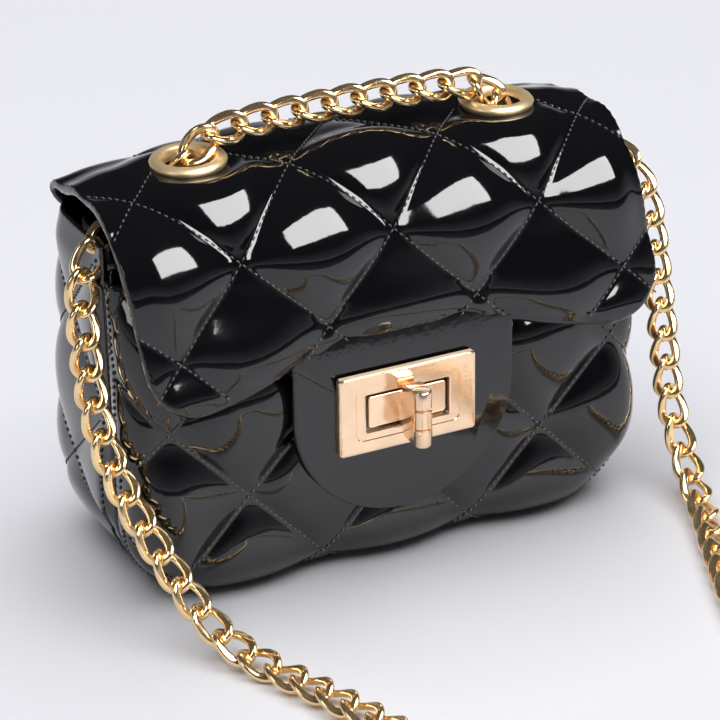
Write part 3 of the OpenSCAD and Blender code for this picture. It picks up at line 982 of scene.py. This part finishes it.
def build_lock():
    w = PLATE_HIGH[0] - PLATE_LOW[0]
    h = PLATE_HIGH[2] - PLATE_LOW[2]
    centre = (0, PLATE_HIGH[1], (PLATE_HIGH[2] + PLATE_LOW[2]) / 2)
    t = PLATE_T
    window_inset = (h - 11.0) / 2
    side_inset = (w - 25.0) / 2
    # Bevelled outer edge, flat border, fine step down, inner border, window: (inset, depth, corner radius)
    section = [(0, 0, 1.0), (0, t - 0.5, 1.0), (0.15, t - 0.2, 1.0), (0.45, t - 0.04, 1.0), (0.8, t, 1.0),
               (window_inset - 2.5, t, 2.2), (window_inset - 2.3, t - 0.28, 2.1), (window_inset - 0.4, t - 0.3, 0.7),
               (window_inset - 0.1, t - 0.42, 0.5), (window_inset, t - 0.8, 0.5), (window_inset, 0, 0.5)]
    loops = []
    for inset, depth, corner in section:
        share = inset / window_inset
        pts = rounded_rect(w - 2 * side_inset * share, h - 2 * inset, corner)
        loops.append(np.column_stack([pts[:, 0], np.full(len(pts), centre[1] - depth), pts[:, 1] + centre[2]]))
    n = len(loops[0])
    faces = []
    for k in range(len(loops)):
        m = (k + 1) % len(loops)
        faces += [[k * n + i, k * n + (i + 1) % n, m * n + (i + 1) % n, m * n + i] for i in range(n)]
    plate = new_object("lock_frame_plate", np.vstack(loops), faces, PINK_GOLD, smooth_faces=False)
    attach(plate, "flap")
    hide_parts("lock_frame")

    base = bevelled_prism("lock_base", rounded_rect(23.2, 9.2, 0.8) + np.array([0, centre[2]]),
                          PLATE_HIGH[1] - t + 0.7, BASE_PLATE_HIGH[1], 0.3, PINK_GOLD)
    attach(base, "root")
    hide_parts("lock_base_plate")

    build_knob(centre[2])


def build_knob(z0):
    """A web that widens from the spindle to an upright grip bar with two turned grooves."""
    front_y, grip_r = KNOB_LOW[1], (KNOB_HIGH[0] - KNOB_LOW[0]) / 2
    bar_y = front_y + grip_r
    half = (KNOB_HIGH[2] - KNOB_LOW[2]) / 2
    groove = half / 3
    sides = 48
    # Two turned grooves part the bar into three equal lengths: (height, share of the bar's radius)
    profile = ((-half, 0.74), (-half + 0.3, 0.92), (-half + 0.75, 1.0), (-groove - 0.34, 1.0), (-groove - 0.22, 0.95),
               (-groove - 0.16, 0.78), (-groove + 0.16, 0.78), (-groove + 0.22, 0.95), (-groove + 0.34, 1.0),
               (groove - 0.34, 1.0), (groove - 0.22, 0.95), (groove - 0.16, 0.78), (groove + 0.16, 0.78),
               (groove + 0.22, 0.95), (groove + 0.34, 1.0), (half - 0.75, 1.0), (half - 0.3, 0.92), (half, 0.74))
    verts, faces = [], []
    for z, share in profile:
        for k in range(sides):
            a = 2 * math.pi * k / sides
            r = share * grip_r
            verts.append([r * math.cos(a), bar_y + r * math.sin(a), z0 + z])
    for i in range(len(profile) - 1):
        for k in range(sides):
            a, b = i * sides + k, i * sides + (k + 1) % sides
            faces.append([a, b, b + sides, a + sides])
    faces.append([k for k in reversed(range(sides))])
    faces.append([(len(profile) - 1) * sides + k for k in range(sides)])
    bar = new_object("knob_grip", verts, faces, PINK_GOLD)
    sharpen(bar, 40)

    web_half = 2.6
    plate_y = PLATE_HIGH[1] - PLATE_T
    upper = [[bar_y, half * 0.93], [plate_y - 3.4, half * 0.95], [plate_y - 1.8, half * 0.90],
             [plate_y - 0.9, half * 0.74], [plate_y - 0.6, 4.4], [plate_y + 1.2, 4.2]]
    outline = upper + [[y, -z] for y, z in reversed(upper)]
    ring = [(-web_half, y, z + z0) for y, z in outline]
    web = extruded("knob_web", ring, (2 * web_half, 0, 0), 0.45, 0.5, PINK_GOLD)
    sharpen(web, 50)
    for ob in (bar, web):
        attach(ob, "knob")
    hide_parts("turn_knob")


# ---------------------------------------------------------------- gusset and inside

def build_gusset():
    """The folded strip in the crease: a V that runs down one side, under the base and up the other."""
    y_front, y_back = CREASE_FRONT - 1.0, CREASE_BACK + 1.0
    y_mid = (CREASE_FRONT + CREASE_BACK) / 2
    section = [(0.6, y_front), (1.6, y_front + 0.6), (5.5, y_mid - 0.5), (6.2, y_mid), (5.5, y_mid + 0.5),
               (1.6, y_back - 0.6), (0.6, y_back)]
    path = [[HALF_W, z] for z in np.linspace(GUSSET_TOP, LOW_CORNER_R, 30)]
    path += arc((HALF_W - LOW_CORNER_R, LOW_CORNER_R), LOW_CORNER_R, 0, -90, 24)[1:]
    path += [[x, 0] for x in np.linspace(HALF_W - LOW_CORNER_R, LOW_CORNER_R - HALF_W, 40)[1:]]
    path += arc((LOW_CORNER_R - HALF_W, LOW_CORNER_R), LOW_CORNER_R, -90, -180, 24)[1:]
    path += [[-HALF_W, z] for z in np.linspace(LOW_CORNER_R, GUSSET_TOP, 30)[1:]]
    path = np.array(path)
    tangent = np.gradient(path, axis=0)
    tangent /= np.linalg.norm(tangent, axis=1, keepdims=True)
    inward = np.column_stack([tangent[:, 1], -tangent[:, 0]])
    inward *= np.sign((inward * (np.array([0, 50]) - path)).sum(1))[:, None]
    wall = 1.2
    verts, faces = [], []
    m = len(section)
    for i in range(len(path)):
        for extra in (0, wall):
            for depth, y in section:
                p = path[i] + inward[i] * (depth + extra)
                verts.append([p[0], y, p[1]])
    for i in range(len(path) - 1):
        for layer in (0, m):
            for k in range(m - 1):
                a = i * 2 * m + layer + k
                quad = [a, a + 1, a + 1 + 2 * m, a + 2 * m]
                faces.append(quad if layer else quad[::-1])
        for k in (0, m - 1):
            a = i * 2 * m + k
            faces.append([a, a + m, a + 3 * m, a + 2 * m])
    for i in (0, len(path) - 1):
        for k in range(m - 1):
            a = i * 2 * m + k
            faces.append([a, a + 1, a + 1 + m, a + m])
    ob = new_object("folded_gusset", verts, faces, PATENT)
    face_outward(ob)
    subdivide(ob)
    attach(ob, "root")
    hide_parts("side_gusset")


def build_lining():
    """The loose cloth bag inside: walls that meet the shells at the rim, a floor on the base board."""
    around, levels = 96, 26
    depths = np.linspace(0, 1, levels)
    rows = []
    for t in depths:
        angle = np.linspace(0, 2 * math.pi, around, endpoint=False)
        c, s = np.cos(angle), np.sin(angle)
        square_x = np.sign(c) * np.abs(c) ** 0.35
        square_y = np.sign(s) * np.abs(s) ** 0.35
        top = LINING_RIM + 7.0 * smooth(square_y, -0.6, 0.1)
        z = top + (LINING_FLOOR - top) * t
        close = smooth(z, 78, 92)
        front_y = front.place(0 * z, z)[:, 1] + 3.6 - 2.2 * close
        back_y = np.minimum(back.place(0 * z, z)[:, 1] - 3.6 + 2.2 * close, LINING_HIGH[1])
        y = np.where(square_y < 0, -square_y * front_y, square_y * back_y)
        half = LINING_HIGH[0] - 3.4 * np.exp(-((y + 14) / 5.5) ** 2)
        pinch = np.sqrt(np.clip(1 - np.clip((LOW_CORNER_R - z) / LOW_CORNER_R, 0, 1) ** 2 * 0.35, 0, 1))
        loose = 0.9 * np.sin(5 * angle + 3.1 * t) * np.sin(9 * t + 2 * np.cos(3 * angle)) * smooth(t, 0, 0.25)
        x = square_x * (half * pinch - 0.8 - np.abs(loose))
        y = y - np.sign(square_y) * (0.6 + np.abs(loose)) * smooth(t, 0, 0.1)
        rows.append(np.column_stack([x, y, z]))
    for share in (0.86, 0.6, 0.3, 0.06):
        ring = rows[levels - 1] * np.array([share, share, 1])
        ring[:, 2] += 0.5 * np.sin(ring[:, 0] * 0.16) * np.cos(ring[:, 1] * 0.21) * (1 - share)
        rows.append(ring)
    verts = np.vstack(rows)
    faces = []
    for r in range(0, (len(rows) - 1) * around, around):
        for k in range(around):
            n = (k + 1) % around
            faces.append([r + k, r + n, r + around + n, r + around + k])
    faces.append([(len(rows) - 1) * around + k for k in range(around)])
    ob = new_object("loose_lining", verts, faces, LINING)
    face_outward(ob)
    wall = ob.modifiers.new("wall", "SOLIDIFY")
    wall.thickness = 0.6 * MM
    wall.offset = 1.0
    subdivide(ob)
    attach(ob, "root")
    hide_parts("lining")


def dress_cad_nodes():
    """Procedural materials on the CAD nodes that are shown as they are."""
    slots = {"steel": STEEL, "pink_gold": PINK_GOLD, "gold": GOLD, "lining_cloth": LINING, "board": BOARD,
             "patent_pvc": PATENT, "wadding": LINING}
    rows = {s["node"]: s["material_slot"] for s in frame["record"]["subparts"]}
    for name, ob in frame["nodes"].items():
        ob.data.materials.clear()
        ob.data.materials.append(slots[rows[name]])


# ---------------------------------------------------------------- stage

def area_light(name, spot, aim, size, power, glossy=True, diffuse=True):
    data = bpy.data.lights.new(name, "AREA")
    data.shape = "RECTANGLE"
    data.size, data.size_y = size
    data.energy = power
    ob = bpy.data.objects.new(name, data)
    bpy.context.scene.collection.objects.link(ob)
    ob.location = spot
    ob.rotation_euler = (Vector(aim) - Vector(spot)).to_track_quat("-Z", "Y").to_euler()
    ob.visible_glossy = glossy
    ob.visible_diffuse = diffuse
    return ob


PALE = (0.80, 0.80, 0.84, 1)


def build_stage():
    mesh = bpy.data.meshes.new("floor")
    reach, dark_beyond = 6.0, -0.44
    corners = [(-reach, -reach, 0), (reach, -reach, 0), (reach, reach, 0), (-reach, reach, 0)]
    mesh.from_pydata(corners, [], [(0, 1, 2, 3)])
    floor = bpy.data.objects.new("floor", mesh)
    bpy.context.scene.collection.objects.link(floor)
    mat, nodes, links, bsdf = node_material("floor_paper")
    # Painted reflection: beyond the sweep's front edge the floor is dark for glossy rays only, so the bag reflects
    # dark there; the camera and the shadows see paper everywhere.
    rays, place = nodes.new("ShaderNodeLightPath"), nodes.new("ShaderNodeNewGeometry")
    parts, beyond, dark_in_reflections = (nodes.new(k) for k in ("ShaderNodeSeparateXYZ", "ShaderNodeMath", "ShaderNodeMath"))
    beyond.operation, dark_in_reflections.operation = "LESS_THAN", "MULTIPLY"
    beyond.inputs[1].default_value = dark_beyond
    links.new(place.outputs["Position"], parts.inputs[0])
    links.new(parts.outputs["Y"], beyond.inputs[0])
    links.new(beyond.outputs[0], dark_in_reflections.inputs[0])
    links.new(rays.outputs["Is Glossy Ray"], dark_in_reflections.inputs[1])
    tint = nodes.new("ShaderNodeMix")
    tint.data_type = "RGBA"
    tint.inputs[6].default_value = (0.78, 0.785, 0.83, 1)
    # Painted reflection colour: the dark that glossy rays see on the floor beyond the front edge.
    tint.inputs[7].default_value = (0.012, 0.012, 0.014, 1)
    links.new(dark_in_reflections.outputs[0], tint.inputs[0])
    links.new(tint.outputs[2], bsdf.inputs["Base Color"])
    bsdf.inputs["Roughness"].default_value = 0.55
    bsdf.inputs["Specular IOR Level"].default_value = 0.25
    # Far from the bag the camera sees the paper evenly lit.
    away, fade = nodes.new("ShaderNodeVectorMath"), nodes.new("ShaderNodeMapRange")
    near_far = nodes.new("ShaderNodeMixShader")
    away.operation = "LENGTH"
    links.new(place.outputs["Position"], away.inputs[0])
    links.new(away.outputs["Value"], fade.inputs["Value"])
    fade.inputs["From Min"].default_value, fade.inputs["From Max"].default_value = 0.9, 2.2
    seen, even = nodes.new("ShaderNodeMath"), nodes.new("ShaderNodeEmission")
    seen.operation = "MULTIPLY"
    links.new(fade.outputs["Result"], seen.inputs[0])
    links.new(rays.outputs["Is Camera Ray"], seen.inputs[1])
    even.inputs["Color"].default_value = PALE
    links.new(seen.outputs[0], near_far.inputs[0])
    links.new(bsdf.outputs["BSDF"], near_far.inputs[1])
    links.new(even.outputs[0], near_far.inputs[2])
    links.new(near_far.outputs[0], next(n for n in nodes if n.type == "OUTPUT_MATERIAL").inputs["Surface"])
    mesh.materials.append(mat)

    world = bpy.data.worlds.new("studio")
    bpy.context.scene.world = world
    world.use_nodes = True
    nodes, links = world.node_tree.nodes, world.node_tree.links
    nodes.clear()
    out = nodes.new("ShaderNodeOutputWorld")
    background = nodes.new("ShaderNodeBackground")
    coords = nodes.new("ShaderNodeTexCoord")
    split = nodes.new("ShaderNodeSeparateXYZ")
    links.new(coords.outputs["Generated"], split.inputs[0])
    grade = nodes.new("ShaderNodeValToRGB")
    stops = grade.color_ramp.elements
    stops[0].position, stops[0].color = 0.0, (0.55, 0.55, 0.59, 1)
    stops[1].position, stops[1].color = 0.22, (0.014, 0.014, 0.016, 1)
    middle_stop = stops.new(0.04)
    middle_stop.color = (0.30, 0.30, 0.32, 1)
    links.new(split.outputs["Z"], grade.inputs[0])
    links.new(grade.outputs[0], background.inputs["Color"])
    background.inputs["Strength"].default_value = 1.0
    rays, backdrop = nodes.new("ShaderNodeLightPath"), nodes.new("ShaderNodeBackground")
    seen = nodes.new("ShaderNodeMixShader")
    backdrop.inputs["Color"].default_value = PALE
    links.new(rays.outputs["Is Camera Ray"], seen.inputs[0])
    links.new(background.outputs[0], seen.inputs[1])
    links.new(backdrop.outputs[0], seen.inputs[2])
    links.new(seen.outputs[0], out.inputs[0])

    middle = (0, 0, 0.06)
    area_light("overhead", (0.0, 0.0, 1.9), middle, (3.0, 3.0), 72, glossy=False)
    area_light("softbox_front", (0.36, -0.94, 1.00), middle, (1.50, 0.85), 56, diffuse=False)
    area_light("softbox_left", (-1.1, -0.30, 0.60), middle, (0.30, 0.45), 2, diffuse=False)


def build_camera():
    """A long lens from the front left, looking down."""
    azimuth, elevation, roll = math.radians(-25.57), math.radians(26.51), math.radians(-0.85)
    aim = Vector((-0.011, (FACE_FRONT + 1) * MM, 0.063))
    distance = 0.8045
    direction = Vector((math.sin(azimuth) * math.cos(elevation), -math.cos(azimuth) * math.cos(elevation),
                        math.sin(elevation)))
    data = bpy.data.cameras.new("camera")
    data.sensor_width = 36
    data.lens = 150
    data.clip_start = 0.01
    ob = bpy.data.objects.new("camera", data)
    bpy.context.scene.collection.objects.link(ob)
    ob.location = aim + direction * distance
    look = (-direction).to_track_quat("-Z", "Y")
    ob.rotation_euler = (look.to_matrix() @ Matrix.Rotation(roll, 3, "Z")).to_euler()
    bpy.context.scene.camera = ob


dress_cad_nodes()
build_shells()
build_flap()
build_gusset()
build_lining()
build_chain()
build_eyelets()
build_tab()
build_lock()
build_stage()
build_camera()
bpy.context.scene.view_settings.view_transform = "Standard"
